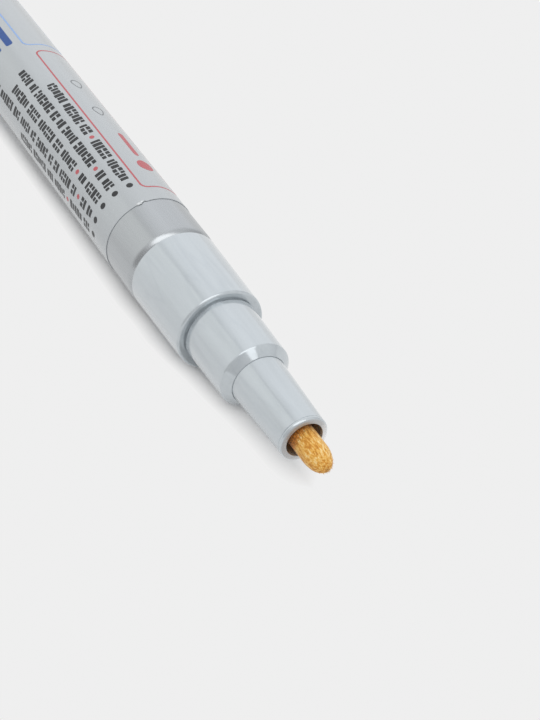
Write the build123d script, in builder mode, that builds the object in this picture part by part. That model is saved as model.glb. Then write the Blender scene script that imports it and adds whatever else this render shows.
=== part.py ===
from build123d import *
from math import hypot
import os

# A bullet-tip paint marker that lies on its side along X, nib towards +X.
# All lengths are millimetres. Radii build up from the nib outwards, stations run back from the nib tip.

# Nib
nib_r = 2.0
nib_reach = 6.3
nib_round = 3.5
nib_length = 30.3

# Nozzle that holds the nib
nozzle_length = 13.2
mouth_gap = 0.85
lip_wall = 0.88
lip_round = 0.45
mouth_bevel = 0.2
nozzle_draft = 0.51
nozzle_flange = 1.2
rib_count = 6
rib_width = 0.7
rib_setback = 2.6
rib_root = 0.2

# Front section with the cap seat
chamfer_run = 1.28
seat_draft = 0.26
seat_length = 10.6
groove_width = 0.42
groove_depth = 1.0
rim_wall = 0.79
rim_round = 0.5
rim_bevel = 0.2
section_draft = 0.3
section_length = 15.15
base_bevel = 0.2
seat_wall = 0.6
entry_depth = 0.8
entry_gap = 0.06

# Barrel and its label
section_step = 0.05
barrel_wall = 0.45
barrel_length = 89.0
collar_length = 9.1
curl_round = 0.8
curl_land = 0.08
curl_lip = 0.6
label_film = 0.1
label_rear_margin = 1.2
label_seam = 0.3
label_seam_angle = -40.0

# Plunger and valve
cup_grip = 3.0
cup_floor = 2.6
cup_wall = 1.0
cup_room = 1.0
cup_gap = 0.4
cup_bevel = 0.3
shoulder_room = 0.4
stem_flange = 1.0
stem_flange_margin = 0.6
rod_r = 1.35
tail_r = 0.9
tail_reach = 0.5
tail_bevel = 0.3
press_stroke = 2.2
chamber_gap = 0.5
chamber_wall = 1.5
flow_slot_count = 4
flow_slot_width = 0.8
flow_slot_reach = 0.9
valve_seat_length = 1.6
valve_seat_wall = 2.05
flow_gap = 0.6
countersink = 0.7
head_lead = 0.1
head_rim = 0.3
head_length = 1.2
head_room = 0.8
skirt_gap = 0.6
retainer_disc = 1.5
flow_hole_count = 6
flow_hole_r = 0.75
flow_hole_ring_r = 2.4

# Return spring
wire_r = 0.3
wire_sides = 6
spring_length = 15.0
spring_turns = 7
spring_rod_gap = 0.95

# Seal ring and mixing ball
seal_width = 1.4
seal_depth = 0.9
seal_bevel = 0.25
spigot_bevel = 0.3
ball_r = 2.5

# Tail plug
plug_spigot = 8.0
plug_flange = 2.2
plug_wall = 1.1
plug_end_wall = 1.5
plug_bevel = 0.3

# Cap and its liner
cap_room = 2.0
cap_end_wall = 1.6
cap_draft = 0.35
cap_end_round = 1.2
cap_mouth_bevel = 0.3
cap_lip_length = 0.8
liner_floor = 1.0
liner_wall = 0.75
liner_cover = 8.0
liner_bevel = 0.2

# Clearances: pressed together, running, sealing, at rest against a stop, cap on its seat
press_gap = 0.02
run_gap = 0.05
seal_gap = 0.04
stop_gap = 0.05
cap_gap = 0.05
ball_gap = 0.1
overrun = 1.0

# Radii, from the nib outwards
mouth_r = nib_r + mouth_gap
nozzle_tip_r = mouth_r + lip_wall
nozzle_base_r = nozzle_tip_r + nozzle_draft
entry_r = nozzle_base_r + entry_gap
seat_tip_r = entry_r + chamfer_run
seat_base_r = seat_tip_r + seat_draft
groove_r = seat_base_r + groove_width
rim_r = groove_r + rim_wall
section_base_r = rim_r + section_draft
barrel_r = section_base_r + section_step
label_r = barrel_r + label_film
barrel_bore_r = barrel_r - barrel_wall
curl_lip_r = barrel_r - curl_round - curl_land
spigot_r = barrel_bore_r - press_gap
valve_bore_r = seat_base_r - seat_wall
housing_r = valve_bore_r - press_gap
cup_bore_r = nib_r + press_gap
cup_r = cup_bore_r + cup_wall
spring_r = rod_r + spring_rod_gap + wire_r
stem_flange_r = spring_r + wire_r + stem_flange_margin
chamber_r = stem_flange_r + chamber_gap
seat_hole_r = rod_r + flow_gap
valve_seat_r = seat_hole_r + valve_seat_wall
head_r = seat_hole_r + countersink + head_rim
skirt_r = head_r + skirt_gap
cap_bore_r = seat_base_r + cap_gap
cap_bore_tip_r = seat_tip_r + cap_gap
liner_bore_r = nozzle_tip_r + press_gap
liner_mouth_r = liner_bore_r + nozzle_draft * liner_cover / nozzle_length

# Stations along the marker, from the nib tip back
front_reach = seat_length + chamfer_run + nozzle_length + nib_reach
cap_length = front_reach + cap_room + liner_floor + cap_end_wall
body_length = section_length + press_gap + barrel_length + plug_flange
overall_length = front_reach + body_length + cap_gap + cap_length
nib_tip_x = overall_length / 2
mouth_x = nib_tip_x - nib_reach
nozzle_base_x = mouth_x - nozzle_length
seat_tip_x = nozzle_base_x - chamfer_run
rim_x = seat_tip_x - seat_length
section_base_x = rim_x - section_length
barrel_front_x = section_base_x - press_gap
barrel_back_x = barrel_front_x - barrel_length
label_front_x = barrel_front_x - collar_length
label_back_x = barrel_back_x + label_rear_margin
spigot_front_x = barrel_front_x - curl_lip - press_gap

nib_rear_x = nib_tip_x - nib_length
cup_front_x = nib_rear_x + cup_grip
rib_back_x = cup_front_x + cup_room
rib_front_x = mouth_x - rib_setback
stem_shoulder_x = nib_rear_x - cup_floor
nozzle_back_x = stem_shoulder_x + shoulder_room
flange_front_x = nozzle_back_x + nozzle_flange
spring_front_x = stem_shoulder_x - stem_flange
wall_front_x = spring_front_x - spring_length
wall_back_x = wall_front_x - chamber_wall
seat_back_x = wall_back_x - valve_seat_length
head_front_x = seat_back_x + countersink + head_lead - seal_gap
head_edge_x = seat_back_x - head_rim - seal_gap
head_back_x = head_edge_x - head_length
retainer_front_x = head_back_x - press_stroke - head_room
section_back_x = retainer_front_x - retainer_disc
tail_end_x = section_back_x - tail_reach
seal_middle_x = (section_back_x + spigot_front_x) / 2
seal_back_x = seal_middle_x - seal_width / 2
seal_front_x = seal_middle_x + seal_width / 2

plug_front_x = barrel_back_x + plug_spigot
plug_rim_x = barrel_back_x - plug_flange
post_tip_x = plug_rim_x - seat_length
cap_mouth_x = plug_rim_x - cap_gap
cap_back_x = cap_mouth_x - cap_length
cap_floor_x = cap_back_x + cap_end_wall
liner_floor_x = cap_floor_x + liner_floor
liner_taper_x = liner_floor_x + cap_room + nib_reach
liner_mouth_x = liner_taper_x + liner_cover

# The marker's axis lies one label radius above the table
axis_z = label_r
axis_plane = Plane(origin=(0, 0, axis_z), x_dir=(1, 0, 0), z_dir=(0, -1, 0))
pen_axis = Axis((0, 0, axis_z), (1, 0, 0))


def cross_plane(x):
    """Plane square to the marker's axis at a station, facing the nib."""
    return Plane(origin=(x, 0, axis_z), x_dir=(0, 1, 0), z_dir=(1, 0, 0))


def half_section(*corners):
    """Closed outline beside the axis from corners of station, radius and, where rounded, the rounding."""
    with BuildSketch(axis_plane) as outline:
        with BuildLine():
            FilletPolyline(
                *[corner[:2] for corner in corners],
                radius=[corner[2] if len(corner) > 2 else 0 for corner in corners],
                close=True,
            )
        make_face()
    return outline.sketch


def finish(piece, name):
    """Label a finished piece and write it out."""
    piece.part.label = name
    export_step(piece.part, f"parts/{name}.step")


os.makedirs("parts", exist_ok=True)

# Barrel: thin tube with its front edge rolled in over the front section
with BuildPart() as barrel:
    revolve(
        half_section(
            (barrel_back_x, barrel_bore_r),
            (barrel_front_x - curl_lip, barrel_bore_r),
            (barrel_front_x - curl_lip, curl_lip_r),
            (barrel_front_x, curl_lip_r),
            (barrel_front_x, barrel_r, curl_round),
            (barrel_back_x, barrel_r),
        ),
        axis=pen_axis,
    )
finish(barrel, "barrel")

# Label: film wrapped round the barrel, open along its seam
with BuildPart() as barrel_label:
    with BuildSketch(cross_plane(label_back_x)):
        Circle(label_r)
        Circle(barrel_r + press_gap, mode=Mode.SUBTRACT)
        with PolarLocations(barrel_r, 1, start_angle=label_seam_angle):
            Rectangle(overrun, label_seam, mode=Mode.SUBTRACT)
    extrude(amount=label_front_x - label_back_x)
finish(barrel_label, "barrel_label")

# Front section: spigot in the barrel, drafted sleeve, rounded rim, ring groove, cap seat and chamfer
with BuildPart() as front_section:
    revolve(
        half_section(
            (section_back_x, valve_bore_r),
            (section_back_x, spigot_r - spigot_bevel),
            (section_back_x + spigot_bevel, spigot_r),
            (seal_back_x, spigot_r),
            (seal_back_x, spigot_r - seal_depth),
            (seal_front_x, spigot_r - seal_depth),
            (seal_front_x, spigot_r),
            (spigot_front_x, spigot_r),
            (spigot_front_x, curl_lip_r - press_gap),
            (section_base_x, curl_lip_r - press_gap),
            (section_base_x, section_base_r - base_bevel),
            (section_base_x + base_bevel, section_base_r),
            (rim_x, rim_r, rim_round),
            (rim_x, groove_r + rim_bevel),
            (rim_x - rim_bevel, groove_r),
            (rim_x - groove_depth, groove_r),
            (rim_x - groove_depth, seat_base_r),
            (seat_tip_x, seat_tip_r),
            (nozzle_base_x, entry_r),
            (nozzle_base_x - entry_depth, entry_r),
            (nozzle_base_x - entry_depth, nozzle_base_r + press_gap),
            (flange_front_x + press_gap, nozzle_base_r + press_gap),
            (flange_front_x + press_gap, valve_bore_r),
        ),
        axis=pen_axis,
    )
finish(front_section, "front_section")

# Nozzle: drafted tube with a rounded lip, a flange behind, and ribs in its bore that guide the nib
with BuildPart() as nozzle:
    revolve(
        half_section(
            (nozzle_back_x, cup_r + cup_gap),
            (nozzle_back_x, housing_r),
            (flange_front_x, housing_r),
            (flange_front_x, nozzle_base_r),
            (nozzle_base_x, nozzle_base_r),
            (mouth_x, nozzle_tip_r, lip_round),
            (mouth_x, mouth_r + mouth_bevel),
            (mouth_x - mouth_bevel, mouth_r),
            (rib_back_x, mouth_r),
            (rib_back_x, cup_r + cup_gap),
        ),
        axis=pen_axis,
    )
    rib_inner_r = nib_r + run_gap
    rib_outer_r = mouth_r + rib_root
    with BuildSketch(cross_plane(rib_back_x)):
        with PolarLocations((rib_inner_r + rib_outer_r) / 2, rib_count):
            Rectangle(rib_outer_r - rib_inner_r, rib_width)
    extrude(amount=rib_front_x - rib_back_x)
finish(nozzle, "nozzle")

# Nib: fibre rod with a bullet end
with BuildPart() as nib:
    with BuildSketch(axis_plane):
        with BuildLine():
            bullet = EllipticalCenterArc((nib_tip_x - nib_round, 0), nib_round, nib_r, arc_size=90)
            Polyline(bullet @ 1, (nib_rear_x, nib_r), (nib_rear_x, 0), bullet @ 0)
        make_face()
    revolve(axis=pen_axis)
finish(nib, "nib")

# Valve housing: tube behind the nozzle with a slotted cross wall and a rear cup for the seat
with BuildPart() as valve_housing:
    revolve(
        half_section(
            (seat_back_x, valve_seat_r + press_gap),
            (seat_back_x, housing_r),
            (nozzle_back_x - press_gap, housing_r),
            (nozzle_back_x - press_gap, chamber_r),
            (wall_front_x, chamber_r),
            (wall_front_x, rod_r + run_gap),
            (wall_back_x, rod_r + run_gap),
            (wall_back_x, valve_seat_r + press_gap),
        ),
        axis=pen_axis,
    )
    with BuildSketch(cross_plane(wall_back_x)):
        with PolarLocations(rod_r + flow_slot_reach / 2, flow_slot_count):
            Rectangle(flow_slot_reach, flow_slot_width)
    extrude(amount=chamber_wall, mode=Mode.SUBTRACT)
finish(valve_housing, "valve_housing")

# Valve seat: rubber ring with a countersunk rear edge
with BuildPart() as valve_seat:
    revolve(
        half_section(
            (seat_back_x, seat_hole_r + countersink),
            (seat_back_x, valve_seat_r),
            (wall_back_x - press_gap, valve_seat_r),
            (wall_back_x - press_gap, seat_hole_r),
            (seat_back_x + countersink, seat_hole_r),
        ),
        axis=pen_axis,
    )
finish(valve_seat, "valve_seat")

# Plunger: cup on the nib's rear end, spring flange, rod through the seat and a thin tail
with BuildPart() as valve_stem:
    revolve(
        half_section(
            (tail_end_x, 0),
            (tail_end_x, tail_r - tail_bevel),
            (tail_end_x + tail_bevel, tail_r),
            (head_front_x, tail_r),
            (head_front_x, rod_r),
            (spring_front_x, rod_r),
            (spring_front_x, stem_flange_r),
            (stem_shoulder_x, stem_flange_r),
            (stem_shoulder_x, cup_r),
            (cup_front_x - cup_bevel, cup_r),
            (cup_front_x, cup_r - cup_bevel),
            (cup_front_x, cup_bore_r),
            (nib_rear_x - press_gap, cup_bore_r),
            (nib_rear_x - press_gap, 0),
        ),
        axis=pen_axis,
    )
finish(valve_stem, "valve_stem")

# Valve head: cone pressed on the plunger's tail, shut on the seat from behind
with BuildPart() as valve_head:
    revolve(
        half_section(
            (head_back_x, tail_r + press_gap),
            (head_back_x, head_r),
            (head_edge_x, head_r),
            (head_front_x - press_gap, seat_hole_r - head_lead - press_gap),
            (head_front_x - press_gap, tail_r + press_gap),
        ),
        axis=pen_axis,
    )
finish(valve_head, "valve_head")

# Valve retainer: skirt that clamps housing and seat, and a disc with flow holes that guides the tail
with BuildPart() as valve_retainer:
    revolve(
        half_section(
            (section_back_x, tail_r + run_gap),
            (section_back_x, housing_r),
            (seat_back_x - press_gap, housing_r),
            (seat_back_x - press_gap, skirt_r),
            (retainer_front_x, skirt_r),
            (retainer_front_x, tail_r + run_gap),
        ),
        axis=pen_axis,
    )
    with BuildSketch(cross_plane(section_back_x)):
        with PolarLocations(flow_hole_ring_r, flow_hole_count):
            Circle(flow_hole_r)
    extrude(amount=retainer_disc, mode=Mode.SUBTRACT)
finish(valve_retainer, "valve_retainer")

# Return spring: one unbroken wire of half turns, each a half circle tilted by half the pitch
spring_pitch = (spring_length - 2 * (wire_r + stop_gap)) / spring_turns
half_turn_rise = spring_pitch / 2
half_turn_r = hypot(spring_r, half_turn_rise / 2)
coil_front_x = spring_front_x - wire_r - stop_gap


def coil_point(half_turn):
    """End of a half turn of the spring, counted from the front."""
    side = 1 if half_turn % 2 == 0 else -1
    return Vector(coil_front_x - half_turn * half_turn_rise, side * spring_r, axis_z)


def coil_crest(half_turn):
    """Middle of a half turn of the spring, above or below the axis."""
    side = 1 if half_turn % 2 == 0 else -1
    return Vector(coil_front_x - (half_turn + 0.5) * half_turn_rise, 0, axis_z + side * half_turn_r)


with BuildPart() as valve_spring:
    with BuildLine() as coil:
        for half_turn in range(2 * spring_turns):
            ThreePointArc(coil_point(half_turn), coil_crest(half_turn), coil_point(half_turn + 1))
    with BuildSketch(Plane(origin=coil.line @ 0, z_dir=coil.line % 0)):
        RegularPolygon(wire_r, wire_sides)
    sweep(path=coil.line)
finish(valve_spring, "valve_spring")

samples_per_turn = 48
sample_count = samples_per_turn * spring_turns
coil_samples = [coil.line @ (step / sample_count) for step in range(sample_count + 1)]
least_pitch = min(
    (coil_samples[later] - coil_samples[first]).length
    for first in range(sample_count)
    for later in range(first + samples_per_turn // 2, sample_count + 1)
)
print(f"spring: least gap between turns {least_pitch - 2 * wire_r:.2f} mm")

# Seal ring in the spigot's groove
with BuildPart() as barrel_seal:
    revolve(
        half_section(
            (seal_back_x + press_gap, spigot_r - seal_depth + press_gap),
            (seal_back_x + press_gap, spigot_r - seal_bevel),
            (seal_back_x + press_gap + seal_bevel, spigot_r),
            (seal_front_x - press_gap - seal_bevel, spigot_r),
            (seal_front_x - press_gap, spigot_r - seal_bevel),
            (seal_front_x - press_gap, spigot_r - seal_depth + press_gap),
        ),
        axis=pen_axis,
    )
finish(barrel_seal, "barrel_seal")

# Mixing ball, lying on the barrel's lower wall halfway along the paint chamber
ball_x = (section_back_x + plug_front_x) / 2
ball_z = axis_z - barrel_bore_r + ball_r + ball_gap
with BuildPart(Plane(origin=(ball_x, 0, ball_z))) as mixing_ball:
    Sphere(ball_r)
finish(mixing_ball, "mixing_ball")

# Tail plug: hollow spigot in the barrel, rim and groove like the front section's, and the cap post
with BuildPart() as tail_plug:
    revolve(
        half_section(
            (post_tip_x + plug_end_wall, 0),
            (post_tip_x + plug_end_wall, seat_tip_r - plug_wall),
            (plug_front_x, seat_tip_r - plug_wall),
            (plug_front_x, spigot_r - plug_bevel),
            (plug_front_x - plug_bevel, spigot_r),
            (barrel_back_x - press_gap, spigot_r),
            (barrel_back_x - press_gap, section_base_r - base_bevel),
            (barrel_back_x - press_gap - base_bevel, section_base_r),
            (plug_rim_x, rim_r, rim_round),
            (plug_rim_x, groove_r + rim_bevel),
            (plug_rim_x + rim_bevel, groove_r),
            (plug_rim_x + groove_depth, groove_r),
            (plug_rim_x + groove_depth, seat_base_r),
            (post_tip_x + plug_bevel, seat_tip_r),
            (post_tip_x, seat_tip_r - plug_bevel),
            (post_tip_x, 0),
        ),
        axis=pen_axis,
    )
finish(tail_plug, "tail_plug")

# Cap: drafted shell whose bore takes the cap seat or the post, with a lip for the ring groove
cap_lip_r = groove_r - 2 * cap_gap
with BuildPart() as cap:
    revolve(
        half_section(
            (cap_back_x, 0),
            (cap_back_x, rim_r - cap_draft, cap_end_round),
            (cap_mouth_x - cap_mouth_bevel, rim_r),
            (cap_mouth_x, rim_r - cap_mouth_bevel),
            (cap_mouth_x, cap_lip_r),
            (cap_mouth_x + cap_lip_length, cap_lip_r),
            (cap_mouth_x + cap_lip_length, cap_bore_r),
            (cap_mouth_x, cap_bore_r),
            (cap_mouth_x - seat_length, cap_bore_tip_r),
            (cap_floor_x, cap_bore_tip_r),
            (cap_floor_x, 0),
        ),
        axis=pen_axis,
    )
finish(cap, "cap")

# Cap liner: sleeve on the cap's floor that closes round the nozzle
with BuildPart() as cap_liner:
    revolve(
        half_section(
            (cap_floor_x + press_gap, 0),
            (cap_floor_x + press_gap, cap_bore_tip_r - press_gap),
            (liner_floor_x, cap_bore_tip_r - press_gap),
            (liner_floor_x, liner_bore_r + liner_wall),
            (liner_taper_x, liner_bore_r + liner_wall),
            (liner_mouth_x, liner_mouth_r + liner_wall),
            (liner_mouth_x, liner_mouth_r + liner_bevel),
            (liner_mouth_x - liner_bevel, liner_mouth_r),
            (liner_taper_x, liner_bore_r),
            (liner_floor_x, liner_bore_r),
            (liner_floor_x, 0),
        ),
        axis=pen_axis,
    )
finish(cap_liner, "cap_liner")
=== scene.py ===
"""Looks of a bullet-tip paint marker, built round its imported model.

The marker lies along X with its nib towards +X. Lengths are in millimetres up to the point where a
mesh, lamp or camera is made, and ring angles are in degrees, counted from +Y up towards +Z.
"""

import logging
import math
import random
from collections.abc import Callable, Sequence
from dataclasses import dataclass, field
from enum import Enum
from functools import cache, reduce

import bmesh
import bpy
from mathutils import Matrix, Vector, noise


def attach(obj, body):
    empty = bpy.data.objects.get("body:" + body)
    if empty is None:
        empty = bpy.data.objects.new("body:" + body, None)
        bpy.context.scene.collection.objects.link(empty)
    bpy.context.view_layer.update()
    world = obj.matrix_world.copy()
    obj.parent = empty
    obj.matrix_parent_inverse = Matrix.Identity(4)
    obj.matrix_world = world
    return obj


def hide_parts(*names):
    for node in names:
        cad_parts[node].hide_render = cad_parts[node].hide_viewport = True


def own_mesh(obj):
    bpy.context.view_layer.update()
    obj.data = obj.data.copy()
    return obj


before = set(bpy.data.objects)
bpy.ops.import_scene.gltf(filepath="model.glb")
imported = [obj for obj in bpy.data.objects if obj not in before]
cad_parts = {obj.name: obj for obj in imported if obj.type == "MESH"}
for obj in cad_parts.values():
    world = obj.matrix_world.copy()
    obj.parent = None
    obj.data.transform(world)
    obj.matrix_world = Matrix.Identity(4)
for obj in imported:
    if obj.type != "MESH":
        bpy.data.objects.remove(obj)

LOG = logging.getLogger("paint_marker")
MM = 0.001
# Height of the marker's axis over the table.
AXIS_HEIGHT = 7.5
# Sockets of Blender's node for mixing colours: the share and both colours, and the mixed colour.
MIX_INPUTS = (0, 6, 7)
MIX_OUTPUT = 2

Point = tuple[float, float, float]
Colour = tuple[float, float, float]
Pair = tuple[float, float]
Stops = Sequence[tuple[float, float | Colour]]
Shaper = Callable[[float, float, float], Pair]
Socket = bpy.types.NodeSocket


class Body(Enum):
    """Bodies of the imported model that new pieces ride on."""

    MARKER = "marker_body"
    NIB = "nib_and_valve"
    CAP = "cap_with_liner"


class Slot(Enum):
    """Material slots of the record."""

    ALUMINIUM = "barrel_aluminium"
    FILM = "label_film"
    SILVER = "silver_plastic"
    FIBRE = "nib_fibre"
    SPRING = "spring_steel"
    CAP = "cap_plastic"


class Mark(Enum):
    """Marks of the printed rows, as bars: shares of the row's height off its middle and tall, rounding."""

    BLOCK = ((0.0, 1.0, 0.08),)
    LOW_BLOCK = ((0.0, 0.8, 0.08),)
    STACK = ((-0.29, 0.42, 0.06), (0.29, 0.42, 0.06))


@dataclass(frozen=True)
class Grain:
    """Soft noise: size of its grains, share of the true length along the marker, finer octaves, turn."""

    size: float
    along: float = 1.0
    detail: float = 2.0
    turn: float = 0.0


def opaque(tone: float | Colour) -> tuple[float, ...]:
    """A colour, or a level of grey, with full cover."""
    return (*(tone if isinstance(tone, tuple) else (tone, tone, tone)), 1.0)


@dataclass
class Bench:
    """Lays out the nodes of one material, or of the world."""

    owner: bpy.types.Material | bpy.types.World

    def __post_init__(self) -> None:
        """Find the owner's own nodes and its coordinates."""
        self.owner.use_nodes = True
        self.nodes, self.links = self.owner.node_tree.nodes, self.owner.node_tree.links
        self.spot = self.add("TexCoord", "Object").node.outputs

    def put(self, value: object, target: Socket) -> None:
        """Link a value that is a socket, and set any other value on the target itself.

        Args:
            value: Socket or plain value.
            target: Socket that takes it.
        """
        if isinstance(value, Socket):
            self.links.new(value, target)
        else:
            target.default_value = value

    def set(self, **values: object) -> None:
        """Put values on the shader's sockets, which are named with underscores for spaces."""
        for key, value in values.items():
            self.put(value, self.nodes["Principled BSDF"].inputs[key.replace("_", " ")])

    def add(self, kind: str, output: str | int, inputs: dict[str | int, object] | None = None,
            **settings: object) -> Socket:
        """Add a node.

        Args:
            kind: Blender's name for the node type, without its prefix.
            output: Name or number of the output that is used.
            inputs: Sockets or plain values for its inputs, by name or number.
            settings: Properties to set on the node.

        Returns:
            Socket of the output.
        """
        node = self.nodes.new("ShaderNode" + kind)
        for key, setting in settings.items():
            setattr(node, key, setting)
        for key, value in (inputs or {}).items():
            self.put(value, node.inputs[key])
        return node.outputs[output]

    def place(self, along: float = 1.0, turn: float = 0.0) -> Socket:
        """Object coordinates in millimetres, with a share of X's length, turned about the upright."""
        return self.add("Mapping", "Vector", {
            "Vector": self.spot["Object"], "Scale": (along / MM, 1.0 / MM, 1.0 / MM),
            "Rotation": (0.0, 0.0, math.radians(turn))})

    def part(self, vector: Socket, axis: str) -> Socket:
        """One axis of a vector."""
        return self.add("SeparateXYZ", axis, {"Vector": vector})

    def along(self, axis: str = "X") -> Socket:
        """Place along an axis in millimetres, which along X is the station on the marker."""
        return self.part(self.place(), axis)

    def noise(self, grain: Grain) -> Socket:
        """Soft noise of a grain, with values about one half."""
        return self.add("TexNoise", "Fac", {"Vector": self.place(grain.along, grain.turn),
                                            "Scale": 1.0 / grain.size, "Detail": grain.detail})

    def ramp(self, value: Socket, stops: Stops) -> Socket:
        """Colour for each value.

        Args:
            value: Socket of values from 0 to 1.
            stops: Values with the colours, or levels of grey, that they get.

        Returns:
            Socket of the colour.
        """
        colour = self.add("ValToRGB", "Color", {"Fac": value})
        elements = colour.node.color_ramp.elements
        while len(elements) < len(stops):
            elements.new(0.5)
        for element, (spot, tone) in zip(elements, stops):
            element.position = spot
            element.color = opaque(tone)
        return colour

    def span(self, value: Socket, low: float | Socket, high: float | Socket, to_low: float = 0.0,
             to_high: float = 1.0) -> Socket:
        """Values mapped so that low becomes to_low and high becomes to_high."""
        return self.add("MapRange", "Result", {"Value": value, "From Min": low, "From Max": high,
                                               "To Min": to_low, "To Max": to_high})

    def reckon(self, rule: str, *values: Socket) -> Socket:
        """Values put together by one of Blender's rules of arithmetic."""
        return self.add("Math", "Value", dict(enumerate(values)), operation=rule)

    def sum(self, first: Socket, second: Socket) -> Socket:
        """Sum of two values."""
        return self.reckon("ADD", first, second)

    def mix(self, share: float | Socket, first: Socket, second: Socket, kind: str = "MIX") -> Socket:
        """Two colours mixed, with a share of the second, in one of Blender's ways."""
        inputs = dict(zip(MIX_INPUTS, (share, first, second)))
        return self.add("Mix", MIX_OUTPUT, inputs, data_type="RGBA", blend_type=kind)

    def bump(self, height: Socket, depth: float, strength: float = 1.0) -> None:
        """Rough up the surface by heights from 0 to 1, which are worth a depth in millimetres."""
        inputs = {"Height": height, "Distance": depth * MM, "Strength": strength}
        self.set(Normal=self.add("Bump", "Normal", inputs))


def shade(colour: Colour, factor: float) -> Colour:
    """A colour made lighter or darker by a factor."""
    return tuple(min(1.0, channel * factor) for channel in colour)


def shades(colour: Colour, stops: Stops) -> Stops:
    """Stops with their factors turned into shades of a colour."""
    return [(spot, tone if isinstance(tone, tuple) else shade(colour, tone)) for spot, tone in stops]


@dataclass(frozen=True)
class Finish:
    """Finish of a piece: fine and broad noise that vary its tone, and fine noise its gloss and height.

    A tone is a factor on the finish's colour, or a colour of its own.
    """

    name: str
    colour: Colour
    roughness: float = 0.45
    metallic: float = 0.0
    coat: float = 0.0
    coat_roughness: float = 0.03
    anisotropic: float = 0.0
    ior: float = 1.5
    fine: Grain = Grain(0.15)
    fine_range: Pair = (0.2, 0.8)
    fine_share: float = 0.5
    broad: Grain | None = Grain(3.0)
    broad_range: Pair = (0.2, 0.8)
    tones: Stops = ((0.25, 0.92), (0.75, 1.07))
    gloss_range: Pair = (0.3, 0.7)
    gloss_reach: float = 0.06
    relief: Pair = (0.004, 0.25)
    broad_relief: bool = False

    def polish(self, bench: Bench, value: Socket) -> None:
        """Set the gloss, which varies with values about one half, and what else stays even."""
        bench.set(Roughness=bench.span(value, *self.gloss_range, self.roughness - self.gloss_reach,
                                       self.roughness + self.gloss_reach),
                  Metallic=self.metallic, IOR=self.ior, Anisotropic=self.anisotropic,
                  Coat_Weight=self.coat, Coat_Roughness=self.coat_roughness)

    def dress(self, bench: Bench) -> None:
        """Lay out the finish.

        Args:
            bench: Bench that holds the new material.
        """
        height = fine = bench.noise(self.fine)
        both = bench.span(fine, *self.fine_range, 0.0, self.fine_share)
        if self.broad:
            broad = bench.noise(self.broad)
            both = bench.sum(both, bench.span(broad, *self.broad_range, 0.0, 1.0 - self.fine_share))
            if self.broad_relief:
                height = bench.sum(fine, broad)
        bench.set(Base_Color=bench.ramp(both, shades(self.colour, self.tones)))
        self.polish(bench, fine)
        bench.bump(height, *self.relief)

    @cache
    def material(self) -> bpy.types.Material:
        """The finish's material, made at its first use.

        Returns:
            The material.
        """
        material = bpy.data.materials.new(self.name)
        self.dress(Bench(material))
        return material


@dataclass(frozen=True)
class SilverPlastic(Finish):
    """Glossy moulded plastic with a fine silver pearl, faint flow streaks along the marker and any painted
    shading.

    The painted shading lies across the marker: painted shade on its near upper side, painted light from the
    table's bounce on its far lower side.
    """

    roughness: float = 0.12
    metallic: float = 0.5
    coat: float = 0.5
    coat_roughness: float = 0.04
    fine: Grain = Grain(0.09, detail=1.0)
    broad: Grain = Grain(1.3, 0.03, 4.0)
    melt: Grain = Grain(2.6, 0.14, 1.5)
    sway: Grain = Grain(3.6, 0.3, 1.0)
    tones: Stops = ((0.32, 0.955), (0.5, 1.0), (0.7, 1.03))
    flecks: Stops = ((0.35, (0.965, 0.97, 0.975)), (0.65, 1.03))
    flow: Stops = ((0.44, 1.0), (0.49, (0.96, 0.963, 0.967)), (0.53, 1.0))
    painted_shading: Stops = ()
    painted_shading_reach: float = 4.0
    gloss_reach: float = 0.04
    wave: float = 0.08
    ripple: float = 0.015

    def dress(self, bench: Bench) -> None:
        """Lay out pearl, flow streaks, painted light and shade, and a clear gloss.

        Args:
            bench: Bench that holds the new material.
        """
        pearl, streak = bench.noise(self.fine), bench.noise(self.broad)
        layers = [(pearl, self.flecks), (bench.noise(self.melt), self.flow)]
        # Painted light and shade: lighter towards the far lower side, where the table's bounce falls, darker
        # on the near upper side.
        if self.painted_shading:
            reach = self.painted_shading_reach
            across = bench.span(bench.along("Y"), -reach, reach, 0.0, 0.5)
            down = bench.span(bench.along("Z"), AXIS_HEIGHT + reach, AXIS_HEIGHT - reach, 0.0, 0.5)
            layers.append((bench.sum(across, down), self.painted_shading))
        tone = bench.ramp(streak, shades(self.colour, self.tones))
        for value, stops in layers:
            tone = bench.mix(1.0, tone, bench.ramp(value, stops), "MULTIPLY")
        bench.set(Base_Color=tone)
        self.polish(bench, pearl)
        ripple = bench.span(bench.sum(streak, pearl), 0.0, 2.0, 0.0, self.ripple)
        bench.bump(bench.sum(bench.noise(self.sway), ripple), self.wave)


@dataclass(frozen=True)
class DrawnAluminium(Finish):
    """Satin drawn aluminium with fine lines along the draw."""

    roughness: float = 0.25
    metallic: float = 1.0
    anisotropic: float = 0.3
    fine: Grain = Grain(0.07, 0.04)
    fine_share: float = 0.4
    broad: Grain = Grain(1.6, 0.05, 3.0)
    tones: Stops = ((0.2, 0.95), (0.8, 1.05))
    gloss_range: Pair = (0.25, 0.75)
    gloss_reach: float = 0.05
    relief: Pair = (0.003, 0.15)


@dataclass(frozen=True)
class SilverFilm(Finish):
    """Satin silver film with a fine grain, faint wrinkles along the barrel and a thin clear top."""

    roughness: float = 0.23
    metallic: float = 0.3
    coat: float = 0.2
    coat_roughness: float = 0.12
    fine: Grain = Grain(0.06, detail=1.0)
    fine_share: float = 0.4
    broad: Grain = Grain(2.2, 0.06, 3.0)
    tones: Stops = ((0.25, 0.96), (0.75, 1.04))
    gloss_reach: float = 0.05
    relief: Pair = (0.003, 0.2)
    broad_relief: bool = True


@dataclass(frozen=True)
class Ink(Finish):
    """Screen-printed ink with a little uneven cover."""

    roughness: float = 0.38
    ior: float = 1.45
    fine: Grain = Grain(0.12)
    fine_range: Pair = (0.0, 1.0)
    fine_share: float = 1.0
    broad: Grain | None = None
    tones: Stops = ((0.3, 0.86), (0.72, 1.22))
    relief: Pair = (0.002, 0.2)


@dataclass(frozen=True)
class MouldedPlastic(Finish):
    """Plain moulded plastic, rubber, dried paint or steel with a fine satin grain."""


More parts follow.
